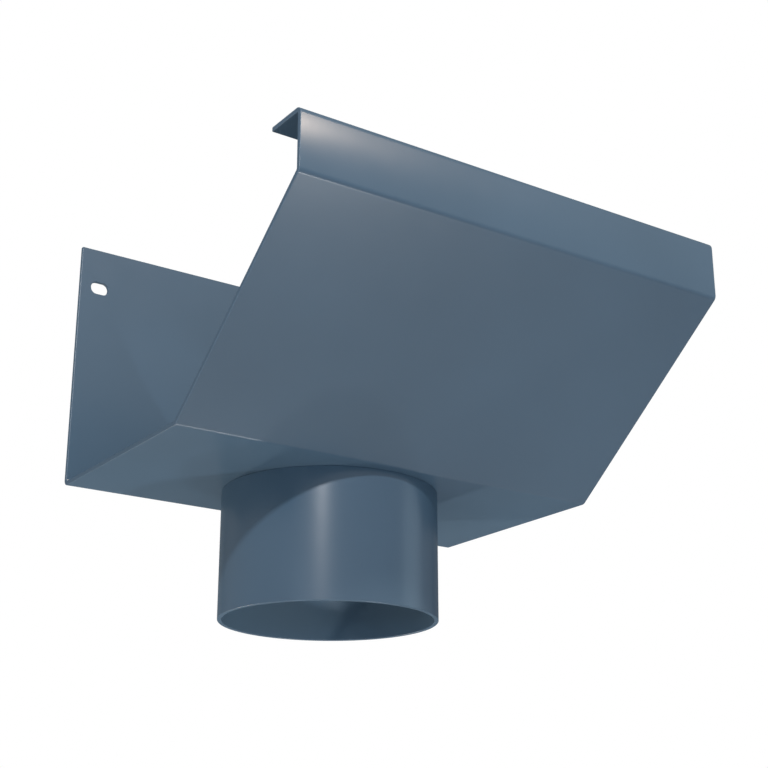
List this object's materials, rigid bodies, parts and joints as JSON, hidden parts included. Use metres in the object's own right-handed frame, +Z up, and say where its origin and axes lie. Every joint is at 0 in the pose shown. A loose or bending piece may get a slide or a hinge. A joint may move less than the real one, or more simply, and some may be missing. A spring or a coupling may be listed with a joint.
{
  "type": "gutter outlet",
  "caption": "Short open-ended length of box gutter with a leaning front and a round outlet spigot welded under its sole, to drop rainwater into a downpipe.",
  "frame": {"origin": "on the spigot's axis, level with the underside of the sole", "axes": "+X along the gutter, +Y towards the wall that the back plate is fixed to, +Z up"},
  "size_m": [0.2164, 0.2025, 0.178],
  "materials": {
    "powder_coated_sheet": "semi-gloss polyester powder coat on aluminium sheet, slate blue-grey",
    "powder_coated_tube": "semi-gloss polyester powder coat on aluminium tube, slate blue-grey",
    "powder_coated_weld": "semi-gloss polyester powder coat over a rippled weld, slate blue-grey"
  },
  "bodies": {
    "root": {"gutter_body": "powder_coated_sheet", "outlet_spigot": "powder_coated_tube", "weld_bead": "powder_coated_weld"}
  },
  "joints": []
}
